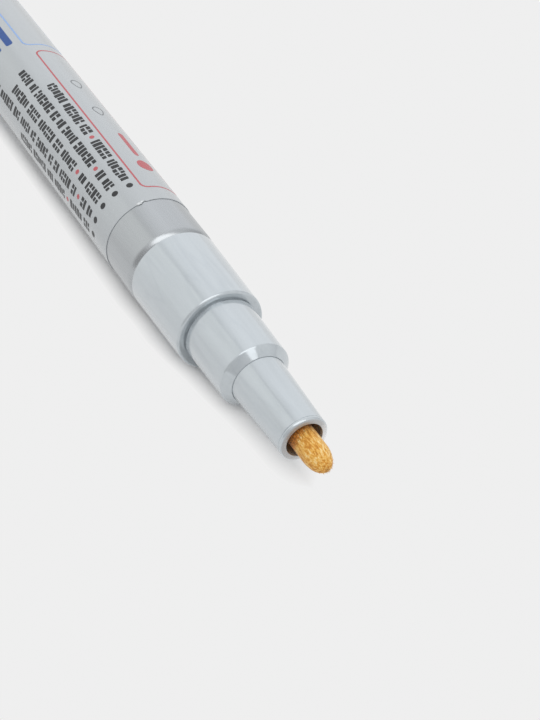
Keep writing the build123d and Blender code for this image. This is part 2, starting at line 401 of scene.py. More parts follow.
@dataclass(frozen=True)
class FleckedPlastic(Finish):
    """Glossy plastic with metal flecks in the colour of the paint."""

    roughness: float = 0.31
    metallic: float = 0.45
    coat: float = 0.4
    coat_roughness: float = 0.05
    fine: Grain = Grain(0.07, detail=0.0)
    fine_range: Pair = (0.3, 0.75)
    fine_share: float = 0.6
    broad: Grain = Grain(2.5, 0.2, 3.0)
    tones: Stops = ((0.25, 0.88), (0.6, 1.0), (0.9, (0.85, 0.62, 0.26)))
    gloss_reach: float = -0.05
    relief: Pair = (0.002, 0.2)


@dataclass(frozen=True)
class NibFelt(Finish):
    """Felt of fine fibres soaked in paint, browner at the root where it leaves the nozzle.

    The layers are fibres one way, fibres across, specks and patches, each with its range and its share.
    Fray and slant are ranges of fibres and of places across the nib, with the lengths that they move the
    brown root's edge by; the slant lets the brown reach further forward on the -Y side.
    """

    roughness: float = 0.7
    gloss_reach: float = 0.15
    ior: float = 1.4
    layers: tuple[tuple[Grain, Pair, Pair], ...] = (
        (Grain(0.26, 0.22, turn=12.0), (0.3, 0.7), (0.0, 0.46)),
        (Grain(0.24, 0.3, turn=-32.0), (0.3, 0.7), (0.0, 0.3)),
        (Grain(0.16), (0.3, 0.7), (-0.04, 0.2)), (Grain(1.3, 0.6), (0.35, 0.65), (-0.06, 0.08)))
    pale: Colour = (0.89, 0.66, 0.31)
    deep: Colour = (0.63, 0.26, 0.024)
    darkest: float = 0.8
    tone_spots: tuple[float, ...] = (0.18, 0.34, 0.46, 0.56, 0.74)
    root_brown: Colour = (0.42, 0.15, 0.02)
    root_brown_tones: Stops = ((0.4, 0.55), (0.6, 2.0))
    root_brown_edge: Pair = (80.2, 81.2)
    fray: tuple[float, ...] = (0.7, 1.3, -0.5, 0.5)
    slant: tuple[float, ...] = (-2.0, 2.0, -0.75, 0.75)
    sheen: Pair = (0.2, 0.5)
    relief: Pair = (0.04, 0.4)

    def dress(self, bench: Bench) -> None:
        """Lay out fibres, speckled fibre ends and the brown root.

        Args:
            bench: Bench that holds the new material.
        """
        values = [bench.noise(grain) for grain, _, _ in self.layers]
        strand, _, speck, _ = values
        mixed = reduce(bench.sum, (bench.span(value, *limits, *shares)
                                   for value, (_, limits, shares) in zip(values, self.layers)))
        colours = (shade(self.deep, self.darkest), self.deep, self.colour, self.colour, self.pale)
        tone = bench.ramp(mixed, list(zip(self.tone_spots, colours)))
        uneven = bench.sum(bench.along(), bench.span(bench.sum(strand, speck), *self.fray))
        # The brown root reaches further forward towards -Y.
        uneven = bench.sum(uneven, bench.span(bench.along("Y"), *self.slant))
        root = bench.span(uneven, *self.root_brown_edge, 1.0, 0.0)
        brown = bench.ramp(speck, shades(self.root_brown, self.root_brown_tones))
        bench.set(Base_Color=bench.mix(root, tone, brown), Sheen_Weight=self.sheen[0],
                  Sheen_Roughness=self.sheen[1])
        self.polish(bench, strand)
        bench.bump(mixed, *self.relief)


@dataclass(frozen=True)
class StainedBore(Finish):
    """Bore of the nozzle: bare plastic at the lip that turns paint-stained further in.

    The fray is a range of blots, with the lengths that they move the stain's edge by.
    """

    roughness: float = 0.425
    gloss_reach: float = 0.125
    fine: Grain = Grain(0.5, detail=4.0)
    lip: Colour = (0.5, 0.48, 0.45)
    lip_tones: Stops = ((0.0, 1.0), (0.4, 0.5))
    stained_from: float = 0.9
    stain_edge: Pair = (80.5, 78.6)
    fray: tuple[float, ...] = (0.2, 0.8, -0.35, 0.35)
    relief: Pair = (0.02, 0.3)

    def dress(self, bench: Bench) -> None:
        """Lay out the stain from the lip inwards.

        Args:
            bench: Bench that holds the new material.
        """
        blot = bench.noise(self.fine)
        depth = bench.span(bench.sum(bench.along(), bench.span(blot, *self.fray)), *self.stain_edge)
        stops = [*shades(self.lip, self.lip_tones), (self.stained_from, self.colour)]
        bench.set(Base_Color=bench.ramp(depth, stops))
        self.polish(bench, blot)
        bench.bump(blot, *self.relief)


SILVER = SilverPlastic("pearl_silver_plastic", (0.55, 0.59, 0.615))
# Lip plastic hazed by paint, with painted light on its far lower side and painted shade on its near upper
# side.
HAZED_SILVER_PAINTED_SHADING = SilverPlastic("paint_hazed_plastic_painted_shading", (0.5, 0.505, 0.51), 0.28, 0.35, 0.3, painted_shading=(
    (0.0, 0.65), (0.4, 0.93), (0.55, 1.05), (0.72, 1.65), (1.0, 1.75)))
ALUMINIUM = DrawnAluminium("drawn_aluminium", (0.47, 0.49, 0.505))
FILM = SilverFilm("silver_film", (0.47, 0.495, 0.51))
# Film of the lifted fold, lighter than the label's film: the lighter colour is a painted glint.
CREASED_FILM_PAINTED_GLINT = SilverFilm("creased_film_painted_glint", (0.66, 0.68, 0.69), 0.14)
FILM_EDGE = MouldedPlastic("film_cut_edge", (0.45, 0.47, 0.49), 0.6)
FELT = NibFelt("paint_soaked_felt", (0.785, 0.44, 0.093))
BORE = StainedBore("stained_bore", (0.43, 0.283, 0.145))
NATURAL = MouldedPlastic("natural_plastic", (0.74, 0.74, 0.7), 0.5)
STEM_PLASTIC = MouldedPlastic("white_stem_plastic", (0.66, 0.67, 0.66))
RUBBER = MouldedPlastic("black_rubber", (0.03, 0.03, 0.032), 0.6)
SPRING_WIRE = MouldedPlastic("spring_wire", (0.55, 0.55, 0.56), 0.3, 1.0, fine=Grain(0.1))
BALL_STEEL = MouldedPlastic("polished_steel", (0.62, 0.62, 0.63), 0.15, 1.0, fine=Grain(0.3))
LINER_PLASTIC = MouldedPlastic("soft_liner_plastic", (0.78, 0.77, 0.72), 0.5)
CAP_PLASTIC = FleckedPlastic("flecked_gold_plastic", (0.52, 0.31, 0.065))
DRIED_PAINT = MouldedPlastic("dried_paint", (0.6, 0.36, 0.1), 0.4)
DARK_INK = Ink("dark_ink", (0.022, 0.023, 0.025))
RED_INK = Ink("red_ink", (0.47, 0.1, 0.115))
BLUE_INK = Ink("blue_ink", (0.27, 0.4, 0.66))
DEEP_BLUE_INK = Ink("deep_blue_ink", (0.025, 0.08, 0.28))
GREY_INK = Ink("grey_ink", (0.17, 0.18, 0.19))


def stand(name: str, data: bpy.types.ID) -> bpy.types.Object:
    """Stand a mesh, lamp or camera in the scene.

    Args:
        name: Name of the object.
        data: The mesh, lamp or camera.

    Returns:
        The new object.
    """
    made = bpy.data.objects.new(name, data)
    bpy.context.collection.objects.link(made)
    return made


def stand_worked(name: str, work: bmesh.types.BMesh, *finishes: Finish) -> bpy.types.Object:
    """Stand a worked mesh in the scene, with its faces turned outwards.

    Args:
        name: Name of the piece.
        work: The worked mesh, which is used up.
        finishes: Finishes by number.

    Returns:
        The new object.
    """
    bmesh.ops.recalc_face_normals(work, faces=work.faces)
    mesh = bpy.data.meshes.new(name)
    for finish in finishes:
        mesh.materials.append(finish.material())
    work.to_mesh(mesh)
    work.free()
    return stand(name, mesh)


def on_ring(x: float, radius: float, angle: float) -> Point:
    """Point at a station, a radius and a ring angle in radians."""
    return (x, radius * math.cos(angle), AXIS_HEIGHT + radius * math.sin(angle))


@dataclass
class Shell:
    """Vertices in millimetres, faces, and each face's finish number."""

    verts: list[Point] = field(default_factory=list)
    faces: list[tuple[int, ...]] = field(default_factory=list)
    zones: list[int] = field(default_factory=list)

    def tube(self, rings: Sequence[Sequence[Point]], zone: int = 0) -> None:
        """Add a closed tube with flat ends.

        Args:
            rings: Rings of as many points each, in order.
            zone: Number of its finish.
        """
        start, sides = len(self.verts), len(rings[0])
        last = start + sides * (len(rings) - 1)
        for ring in rings:
            self.verts.extend(ring)
        for low in range(start, last, sides):
            for step in range(sides):
                after = (step + 1) % sides
                self.faces.append((low + step, low + after, low + sides + after, low + sides + step))
        for low in (start, last):
            self.faces.append(tuple(range(low, low + sides)))
        self.zones += [zone] * (len(self.faces) - len(self.zones))

    def piece(self, name: str, *finishes: Finish) -> bpy.types.Object:
        """Make the shell a piece of the scene.

        Args:
            name: Name of the piece.
            finishes: Finishes by number.

        Returns:
            The new object, with smooth faces.
        """
        work = bmesh.new()
        verts = [work.verts.new([value * MM for value in vert]) for vert in self.verts]
        for numbers, zone in zip(self.faces, self.zones):
            face = work.faces.new([verts[number] for number in numbers])
            face.material_index, face.smooth = zone, True
        return stand_worked(name, work, *finishes)


@dataclass(frozen=True)
class Dome:
    """Low uneven dome, let into a turned wall a little. A height below zero points at the axis."""

    x: float
    wall_r: float
    angle: float
    along: float
    across: float
    height: float
    sides: int = 12
    lobes: int = 3
    unevenness: float = 0.15
    rings: tuple[Pair, ...] = ((1.0, -0.4), (0.86, 0.4), (0.6, 0.75), (0.3, 0.95))

    def point(self, ring: int, step: int) -> Point:
        """Point of one of the dome's rings.

        Args:
            ring: Number of the ring.
            step: Number of the point.

        Returns:
            The point.
        """
        share, lift = self.rings[ring]
        turn = math.tau * step / self.sides
        spread = share * (1.0 + self.unevenness * math.sin(self.lobes * turn + ring))
        return on_ring(self.x + self.along * spread * math.cos(turn), self.wall_r + self.height * lift,
                       math.radians(self.angle) + self.across * spread * math.sin(turn) / self.wall_r)

    def add_to(self, shell: Shell) -> None:
        """Add the dome to a shell."""
        shell.tube([[self.point(ring, step) for step in range(self.sides)]
                    for ring in range(len(self.rings))])


@dataclass(frozen=True)
class Corner:
    """Corner of a turned outline, with its rounding and the finish of the stretch that follows it."""

    x: float
    r: float
    rounding: float = 0.04
    zone: int = 0


@dataclass
class Lathe:
    """Turns outlines about the marker's axis."""

    segments: int = 192
    arc_step: float = 10.0
    least_steps: int = 3
    support: float = 0.12
    support_parts: int = 3
    spared: float = 0.96
    straight: float = 89.0
    axis_r: float = 1e-6

    def reach(self, own: float, others: Pair, edges: tuple[Vector, Vector]) -> float:
        """Length that a corner's rounding takes from its edges.

        Args:
            own: Rounding of the corner.
            others: Roundings of the corners before and after it.
            edges: Edges from the corner to those two.

        Returns:
            The length, within what the corners at both ends of each edge share of it.
        """
        half = edges[0].angle(edges[1]) / 2
        if own <= 0.0 or half > math.radians(self.straight):
            return 0.0
        rooms = (self.spared * edge.length * own / (own + other) for edge, other in zip(edges, others))
        return min(own / math.tan(half), *rooms)

    def outline(self, corners: Sequence[Corner], closed: bool = True) -> list[tuple[float, float, int]]:
        """Points of an outline with its corners rounded and its edges kept straight near them.

        Args:
            corners: Corners in order.
            closed: Whether the outline closes on itself.

        Returns:
            Station, radius and finish number of each point.
        """
        spots = [Vector((corner.x, corner.r)) for corner in corners]
        sides = [(number - 1, (number + 1) % len(corners)) for number in range(len(corners))]
        edges = [tuple(spots[side] - spot for side in pair) for spot, pair in zip(spots, sides)]
        reaches = [self.reach(corner.rounding, tuple(corners[side].rounding for side in pair), pair_edges)
                   for corner, pair, pair_edges in zip(corners, sides, edges)]
        if not closed:
            reaches[0] = reaches[-1] = 0.0
        points: list[tuple[float, float, int]] = []
        for corner, spot, pair, pair_edges, reach in zip(corners, spots, sides, edges, reaches):
            if not reach:
                points.append((corner.x, corner.r, corner.zone))
                continue
            zone_before = corners[pair[0]].zone
            half = pair_edges[0].angle(pair_edges[1]) / 2
            radius = reach * math.tan(half)
            back, ahead = (edge.normalized() for edge in pair_edges)
            inward, sideways = (back + ahead).normalized(), (back - ahead).normalized()
            middle = spot + inward * radius / math.sin(half)
            stays = [reach + min(self.support, (edge.length - reach - reaches[side]) / self.support_parts)
                     for edge, side in zip(pair_edges, pair)]
            points.append((*(spot + back * stays[0]), zone_before))
            steps = max(self.least_steps, math.ceil(math.degrees(math.pi - 2 * half) / self.arc_step))
            for step in range(steps + 1):
                turn = (1 - 2 * step / steps) * (math.pi / 2 - half)
                spoke = sideways * math.sin(turn) - inward * math.cos(turn)
                points.append((*(middle + spoke * radius), zone_before if 2 * step < steps else corner.zone))
            points.append((*(spot + ahead * stays[1]), corner.zone))
        return points

    def turn(self, points: Sequence[tuple[float, float, int]], closed: bool = True,
             shaper: Shaper | None = None) -> Shell:
        """Turn an outline into a shell.

        Args:
            points: Outline as station, radius and finish number.
            closed: Whether the outline closes on itself.
            shaper: Moves a point, given as station, radius and ring angle in radians.

        Returns:
            The turned shell.
        """
        shell = Shell()
        rings: list[list[int]] = []
        for x, r, _ in points:
            ring: list[int] = []
            for step in range(self.segments if r > self.axis_r else 1):
                angle = math.tau * step / self.segments
                ring.append(len(shell.verts))
                shell.verts.append(on_ring(*(shaper(x, r, angle) if shaper else (x, r)), angle))
            rings.append(ring)
        for spot in range(len(rings) if closed else len(rings) - 1):
            first, second = rings[spot], rings[(spot + 1) % len(rings)]
            for step in range(self.segments):
                after = (step + 1) % self.segments
                corners = [first[step % len(first)], first[after % len(first)],
                           second[after % len(second)], second[step % len(second)]]
                shell.faces.append(tuple(dict.fromkeys(corners)))
                shell.zones.append(points[spot][2])
        return shell

    def piece(self, name: str, corners: Sequence[Corner], *finishes: Finish, closed: bool = True,
              shaper: Shaper | None = None) -> bpy.types.Object:
        """Turn corners into a piece of the scene, with its finishes by number."""
        return self.turn(self.outline(corners, closed), closed, shaper).piece(name, *finishes)


def settle(piece: bpy.types.Object, body: Body, slot: Slot, *nodes: str) -> bpy.types.Object:
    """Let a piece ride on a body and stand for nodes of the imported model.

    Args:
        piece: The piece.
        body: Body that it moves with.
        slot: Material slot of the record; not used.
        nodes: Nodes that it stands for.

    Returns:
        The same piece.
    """
    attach(piece, body.value)
    if nodes:
        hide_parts(*nodes)
    LOG.info("piece %s on %s", piece.name, body.value)
    return piece


def dress_node(node: str, finish: Finish) -> None:
    """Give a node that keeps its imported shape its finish.

    Args:
        node: Name of the node.
        finish: Finish of the whole node.
    """
    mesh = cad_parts[node].data
    mesh.materials.clear()
    mesh.materials.append(finish.material())
    LOG.info("node %s dressed in %s", node, finish.name)


@dataclass(frozen=True)
class PrintBox:
    """Printed box: station of its front end, ring angle of its middle, length, width round the marker."""

    x: float
    angle: float
    length: float
    width: float
    rounding: float


@dataclass
class PrintSheet:
    """Flat shapes of one ink, as station and arc length, to be wrapped round the label."""

    radius: float
    ink_height: float = 0.012
    sunk: float = 0.03
    strip: float = 0.4
    spare: float = 0.01
    bar_steps: int = 3
    frame_steps: int = 6
    disc_steps: int = 20
    shapes: list[list[Pair]] = field(default_factory=list)

    def arc(self, angle: float) -> float:
        """Arc length round the label at a ring angle in degrees."""
        return math.radians(angle) * self.radius

    def edge(self, box: PrintBox, rounding: float, steps: int) -> list[Pair]:
        """Edge of a box with rounded corners.

        Args:
            box: The box.
            rounding: Radius of its corners.
            steps: Steps in each corner.

        Returns:
            Points round the edge.
        """
        path: list[Pair] = []
        front, back = box.x - rounding, box.x - box.length + rounding
        for turn, (x, side) in enumerate(((front, 1), (back, 1), (back, -1), (front, -1))):
            y = self.arc(box.angle) + side * (box.width / 2 - rounding)
            for step in range(steps + 1):
                direction = (turn + step / steps) * math.pi / 2
                path.append((x + rounding * math.cos(direction), y + rounding * math.sin(direction)))
        return path

    def bar(self, box: PrintBox) -> None:
        """Add a full box."""
        rounding = min(box.rounding, box.length / 2 - self.spare, box.width / 2 - self.spare)
        self.shapes.append(self.edge(box, rounding, self.bar_steps))

    def frame(self, box: PrintBox, line: float) -> None:
        """Add an empty box with a line of the given width."""
        self.stroke(self.edge(box, box.rounding, self.frame_steps), line)

    def disc(self, x: float, angle: float, radius: float) -> None:
        """Add a round dot, with its middle at a station and a ring angle in degrees."""
        turns = (math.tau * step / self.disc_steps for step in range(self.disc_steps))
        self.shapes.append([(x + radius * math.cos(turn), self.arc(angle) + radius * math.sin(turn))
                            for turn in turns])

    def stroke(self, path: Sequence[Pair], width: float) -> None:
        """Add a closed line of one width, as a chain of overlapping quadrilaterals.

        Args:
            path: Points of the line.
            width: Width of the line.
        """
        for spot, start in enumerate(path):
            first, second = Vector(start), Vector(path[(spot + 1) % len(path)])
            run = (second - first).normalized() * width / 2
            side = Vector((-run.y, run.x))
            self.shapes.append([tuple(first - run + side), tuple(first - run - side),
                                tuple(second + run - side), tuple(second + run + side)])

    def piece(self, name: str, ink: Ink) -> bpy.types.Object:
        """Cut the shapes into strips, raise them and wrap them round the label.

        Args:
            name: Name of the piece.
            ink: Ink of the shapes.

        Returns:
            The new object.
        """
        work = bmesh.new()
        for shape in self.shapes:
            work.faces.new([work.verts.new((x, y, 0.0)) for x, y in shape])
        low = min(y for shape in self.shapes for _, y in shape)
        high = max(y for shape in self.shapes for _, y in shape)
        for step in range(1, math.ceil((high - low) / self.strip)):
            everything = work.verts[:] + work.edges[:] + work.faces[:]
            bmesh.ops.bisect_plane(work, geom=everything, plane_co=(0, low + step * self.strip, 0),
                                   plane_no=(0, 1, 0))
        raised = bmesh.ops.extrude_face_region(work, geom=work.faces[:], use_keep_orig=True)
        for part in raised["geom"]:
            if isinstance(part, bmesh.types.BMVert):
                part.co.z = self.ink_height + self.sunk
        for vert in work.verts:
            radius = self.radius - self.sunk + vert.co.z
            vert.co = Vector(on_ring(vert.co.x, radius, vert.co.y / self.radius)) * MM
        return stand_worked(name, work, ink)


@dataclass(frozen=True)
class RowStyle:
    """Rows of printed marks: their lengths, place and height, and what is drawn for their groups."""

    lengths: tuple[float, ...]
    angle: float
    pitch: float
    height: float
    group_counts: tuple[int, ...]
    mark_lengths: tuple[float, ...]
    mark_gap: float
    group_gap: float
    dotted: bool


@dataclass
class Barrel:
    """Drawn aluminium tube with its rolled front edge, the printed film and the film's print.

    A fold is its place ahead of the film's front edge, ring angle, half length, half width and height. A dot
    of the rows is its middle's distance behind the print so far, and its radius.
    """

    front_x: float = 40.34
    back_x: float = -48.66
    back_round: float = 0.08
    outer_r: float = 7.4
    wall: float = 0.45
    curl_length: float = 1.45
    curl_height: float = 0.8
    curl_steps: int = 14
    curl_lip: float = 0.6
    lip_r: float = 6.52
    film_front_x: float = 31.24
    film_back_x: float = -47.46
    film_r: float = 7.5
    film_inner_r: float = 7.403
    film_rounds: Pair = (0.01, 0.02)
    film_rings: tuple[float, ...] = (0.5, 1.1, 2.0)
    film_segments: int = 360
    seam_angle: float = 320.0
    seam_half_angle: float = 1.2
    seam_film: float = 0.012
    lift_angle: float = 98.0
    lift_width: float = 5.0
    lift_height: float = 0.1
    lift_reach: float = 1.4
    notch_place: float = -0.9
    notch_width: float = 0.35
    notch_depth: float = 0.3
    folds: tuple[tuple[float, ...], ...] = (
        (-0.1, 100.8, 0.27, 0.5, 0.17), (-0.24, 96.0, 0.18, 0.42, 0.13), (0.04, 98.3, 0.13, 0.26, 0.1))
    print_seed: int = 17
    row_margin: float = 4.4
    rows: tuple[RowStyle, ...] = (
        RowStyle((27.0, 38.0, 33.0, 42.0, 30.0), 95.5, 20.5, 1.65, (2, 3, 5, 6, 7), (0.55, 0.68, 0.8),
                 mark_gap=0.2, group_gap=0.6, dotted=True),
        RowStyle((34.0, 41.0, 37.0, 22.0), -30.0, 13.0, 0.95, (3, 4, 6, 8), (0.35, 0.42, 0.5),
                 mark_gap=0.14, group_gap=0.4, dotted=False))
    row_dot: Pair = (0.5, 0.55)
    row_dot_room: float = 2.1
    red_dot: Pair = (0.3, 0.42)
    red_dot_room: float = 1.5
    red_dot_after: int = 2
    red_frame: PrintBox = PrintBox(27.84, 55.0, 44.0, 7.4, 1.1)
    red_line: float = 0.3
    red_disc: Point = (21.24, 55.0, 1.5)
    red_bar: PrintBox = PrintBox(18.24, 55.0, 7.0, 1.0, 0.5)
    blue_frames: tuple[PrintBox, ...] = (
        PrintBox(-18.5, 58.0, 24.0, 8.4, 1.4), PrintBox(-18.5, 238.0, 24.0, 8.4, 1.4))
    blue_line: float = 0.32
    deep_blue_bars: tuple[PrintBox, ...] = (
        PrintBox(-20.5, 106.0, 22.0, 1.3, 0.4), PrintBox(-20.5, 124.0, 16.0, 1.3, 0.4))
    grey_bars: tuple[PrintBox, ...] = (
        PrintBox(20.0, 232.0, 30.0, 0.9, 0.2), PrintBox(17.0, 246.0, 26.0, 0.9, 0.2),
        PrintBox(14.0, 260.0, 22.0, 0.9, 0.2), PrintBox(11.0, 274.0, 18.0, 0.9, 0.2))
    drop_stations: Pair = (4.0, -5.0)
    drop_angle: float = 60.0
    drop_r: float = 0.95
    drop_point: float = 1.7
    drop_taper: float = 0.35
    drop_steps: int = 22
    drop_line: float = 0.2

    def build(self) -> None:
        """Build the tube, the film and the print."""
        lip_back_x = self.front_x - self.curl_lip
        tube = Lathe().piece("barrel_tube", [
            Corner(self.back_x, self.outer_r - self.wall),
            Corner(lip_back_x, self.outer_r - self.wall),
            Corner(lip_back_x, self.lip_r),
            Corner(self.front_x, self.lip_r),
            *self.rolled_edge(),
            Corner(self.back_x, self.outer_r, self.back_round),
        ], ALUMINIUM)
        settle(tube, Body.MARKER, Slot.ALUMINIUM, "barrel")
        inner_round, outer_round = self.film_rounds
        film = Lathe(segments=self.film_segments).piece("label_film", [
            Corner(self.film_back_x, self.film_inner_r, inner_round),
            Corner(self.film_front_x, self.film_inner_r, inner_round, 1),
            Corner(self.film_front_x, self.film_r, outer_round),
            *(Corner(self.film_front_x - back, self.film_r, 0.0) for back in self.film_rings),
            Corner(self.film_back_x, self.film_r, outer_round, 1),
        ], FILM, FILM_EDGE, shaper=self.shape_film)
        settle(film, Body.MARKER, Slot.FILM, "barrel_label")
        # The fold's domes take the lighter film, whose colour is a painted glint where the fold catches the
        # softbox.
        fold = Shell()
        for ahead, angle, along, across, height in self.folds:
            Dome(self.film_front_x + ahead, self.film_r, angle, along, across, height).add_to(fold)
        settle(fold.piece("film_edge_fold", CREASED_FILM_PAINTED_GLINT), Body.MARKER, Slot.FILM)
        self.print_label()

    def rolled_edge(self) -> list[Corner]:
        """Corners of the tube's rolled front edge, from its front to the plain tube."""
        turns = (math.pi / 2 * (1 - step / self.curl_steps) for step in range(self.curl_steps + 1))
        return [Corner(self.front_x - self.curl_length * (1 - math.sin(turn)),
                       self.outer_r - self.curl_height * (1 - math.cos(turn)), 0.0) for turn in turns]

    def shape_film(self, x: float, r: float, angle: float) -> Pair:
        """Sink the film's seam and lift its front edge a little at one place.

        Args:
            x: Station of the point.
            r: Radius of the point.
            angle: Ring angle in radians.

        Returns:
            The moved station and radius.
        """
        if abs(math.degrees(angle) - self.seam_angle) < self.seam_half_angle:
            return x, min(r, self.film_inner_r + self.seam_film)
        away = (math.degrees(angle) - self.lift_angle) / self.lift_width
        near = max(0.0, 1.0 - (self.film_front_x - x) / self.lift_reach)
        swell = math.exp(-away * away) * near
        notch = math.exp(-((away - self.notch_place) / self.notch_width) ** 2) * near
        return x - self.notch_depth * notch, r + self.lift_height * swell * swell

    def print_label(self) -> None:
        """Print the rows, the red frame, the blue panels with deep blue bars, and the grey drops and bars."""
        inks = {"dark": DARK_INK, "red": RED_INK, "blue": BLUE_INK, "deep_blue": DEEP_BLUE_INK,
                "grey": GREY_INK}
        sheets = [PrintSheet(self.film_r) for _ in inks]
        dark, red, blue, deep_blue, grey = sheets
        draw = random.Random(self.print_seed)
        for style in self.rows:
            for row, length in enumerate(style.lengths):
                self.print_row(draw, dark, red, style, style.angle + row * style.pitch, length)
        red.frame(self.red_frame, self.red_line)
        red.disc(*self.red_disc)
        red.bar(self.red_bar)
        for box in self.blue_frames:
            blue.frame(box, self.blue_line)
        for box in self.deep_blue_bars:
            deep_blue.bar(box)
        for x in self.drop_stations:
            grey.stroke(self.drop(x, grey.arc(self.drop_angle)), self.drop_line)
        for box in self.grey_bars:
            grey.bar(box)
        for (name, ink), sheet in zip(inks.items(), sheets):
            settle(sheet.piece(f"label_print_{name}", ink), Body.MARKER, Slot.FILM)

    def print_row(self, draw: random.Random, dark: PrintSheet, red: PrintSheet, style: RowStyle, angle: float,
                  length: float) -> None:
        """Print a row of marks in groups, with a dot before a dotted row and a red one between its groups.

        Args:
            draw: Random draws of the label.
            dark: Sheet of the marks.
            red: Sheet of the red dots.
            style: Style of the row.
            angle: Ring angle of the row's middle in degrees.
            length: Length of the row.
        """
        x = self.film_front_x - self.row_margin
        end = x - length
        if style.dotted:
            dark.disc(x - self.row_dot[0], angle, self.row_dot[1])
            x -= self.row_dot_room
        group = 0
        while x > end:
            for _ in range(draw.choice(style.group_counts)):
                mark_length = draw.choice(style.mark_lengths)
                for off, tall, rounding in draw.choice(tuple(Mark)).value:
                    middle = angle + math.degrees(off * style.height / self.film_r)
                    dark.bar(PrintBox(x, middle, mark_length, tall * style.height, rounding))
                x -= mark_length + style.mark_gap
            x -= style.group_gap
            group += 1
            if style.dotted and group == self.red_dot_after:
                red.disc(x - self.red_dot[0], angle, self.red_dot[1])
                x -= self.red_dot_room

    def drop(self, x: float, middle: float) -> list[Pair]:
        """Outline of a drop that points to the front.

        Args:
            x: Station of its round end's middle.
            middle: Arc length of its middle.

        Returns:
            Points round the drop.
        """
        path: list[Pair] = []
        for step in range(self.drop_steps):
            ahead, side = (rule(math.tau * step / self.drop_steps) for rule in (math.cos, math.sin))
            path.append((x + self.drop_r * ahead * (1.0 if ahead < 0 else self.drop_point),
                         middle + self.drop_r * side * (1.0 - self.drop_taper * max(0.0, ahead))))
        return path


@dataclass
class FrontEnd:
    """Stepped front moulding, the nozzle let into it, and dried paint at the nozzle's mouth."""

    spigot_back_x: float = 28.85
    spigot_r: float = 6.93
    spigot_round: float = 0.3
    seal_back_x: float = 33.585
    seal_front_x: float = 34.985
    seal_r: float = 6.03
    shoulder_x: float = 39.72
    base_x: float = 40.36
    base_r: float = 7.35
    base_round: float = 0.22
    neck_r: float = 6.5
    rim_x: float = 55.51
    rim_r: float = 7.05
    rim_round: float = 0.38
    rim_lean: float = 0.1
    groove_r: float = 5.52
    groove_round: float = 0.06
    seat_back_x: float = 55.77
    seat_base_r: float = 5.83
    seat_base_round: float = 0.05
    seat_x: float = 66.11
    seat_r: float = 5.58
    seat_round: float = 0.3
    entry_x: float = 67.39
    entry_r: float = 4.264
    entry_depth: float = 0.8
    bore_r: float = 5.24
    fit: float = 0.02
    nozzle_back_x: float = 54.39
    flange_x: float = 55.59
    flange_r: float = 5.22
    nozzle_r: float = 4.24
    mouth_x: float = 80.59
    lip_r: float = 3.73
    lip_round: float = 0.45
    mouth_r: float = 2.85
    mouth_round: float = 0.07
    line_x: float = 79.86
    line_r: float = 3.758
    line_width: float = 0.13
    line_depth: float = 0.09
    line_round: float = 0.01
    rib_back_x: float = 60.59
    rib_front_x: float = 77.99
    rib_inner_r: float = 2.05
    rib_root: float = 0.1
    rib_count: int = 6
    rib_width: float = 0.7
    rear_bore_r: float = 3.42
    speck_seed: int = 5
    speck_count: int = 14
    speck_sizes: Pair = (0.04, 0.1)
    speck_depths: Pair = (0.25, 1.1)
    speck_angles: Pair = (150.0, 265.0)
    speck_height: float = -0.05

    def build(self) -> None:
        """Build the moulding, the nozzle and the specks of paint."""
        sleeve_back_x, sleeve_r = self.flange_x + self.fit, self.nozzle_r + self.fit
        section = Lathe().piece("front_moulding", [
            Corner(self.spigot_back_x, self.bore_r),
            Corner(self.spigot_back_x, self.spigot_r, self.spigot_round),
            Corner(self.seal_back_x, self.spigot_r),
            Corner(self.seal_back_x, self.seal_r),
            Corner(self.seal_front_x, self.seal_r),
            Corner(self.seal_front_x, self.spigot_r),
            Corner(self.shoulder_x, self.spigot_r),
            Corner(self.shoulder_x, self.neck_r),
            Corner(self.base_x, self.neck_r),
            Corner(self.base_x, self.base_r, self.base_round),
            Corner(self.rim_x, self.rim_r, self.rim_round),
            Corner(self.rim_x - self.rim_lean, self.groove_r, self.groove_round),
            Corner(self.seat_back_x, self.groove_r, self.groove_round),
            Corner(self.seat_back_x, self.seat_base_r, self.seat_base_round),
            Corner(self.seat_x, self.seat_r, self.seat_round),
            Corner(self.entry_x, self.entry_r),
            Corner(self.entry_x - self.entry_depth, self.entry_r),
            Corner(self.entry_x - self.entry_depth, sleeve_r),
            Corner(sleeve_back_x, sleeve_r),
            Corner(sleeve_back_x, self.bore_r),
        ], SILVER)
        settle(section, Body.MARKER, Slot.SILVER, "front_section")
        lathe = Lathe()
        nozzle = lathe.turn(lathe.outline([
            Corner(self.nozzle_back_x, self.rear_bore_r),
            Corner(self.nozzle_back_x, self.flange_r),
            Corner(self.flange_x, self.flange_r),
            Corner(self.flange_x, self.nozzle_r),
            Corner(self.entry_x, self.nozzle_r, 0.0),
            Corner(self.line_x, self.line_r, self.line_round),
            Corner(self.line_x + self.line_width / 2, self.line_r - self.line_depth, self.line_round),
            Corner(self.line_x + self.line_width, self.line_r, self.line_round),
            Corner(self.mouth_x, self.lip_r, self.lip_round, 2),
            Corner(self.mouth_x, self.mouth_r, self.mouth_round, 1),
            Corner(self.rib_back_x, self.mouth_r, zone=1),
            Corner(self.rib_back_x, self.rear_bore_r, zone=1),
        ]))
        for rib in range(self.rib_count):
            self.add_rib(nozzle, math.tau * rib / self.rib_count)
        settle(nozzle.piece("nib_nozzle", SILVER, BORE, HAZED_SILVER_PAINTED_SHADING), Body.MARKER, Slot.SILVER, "nozzle")
        settle(self.paint_specks().piece("dried_paint_specks", DRIED_PAINT), Body.MARKER, Slot.FIBRE)

    def add_rib(self, nozzle: Shell, angle: float) -> None:
        """Add a rib that guides the nib along the nozzle's bore.

        Args:
            nozzle: Shell of the nozzle.
            angle: Ring angle of the rib in radians.
        """
        outer, half = self.mouth_r + self.rib_root, self.rib_width / 2
        corners = ((self.rib_inner_r, -half), (self.rib_inner_r, half), (outer, half), (outer, -half))
        nozzle.tube([[on_ring(x, radius, angle + side / radius) for radius, side in corners]
                     for x in (self.rib_back_x, self.rib_front_x)], zone=1)

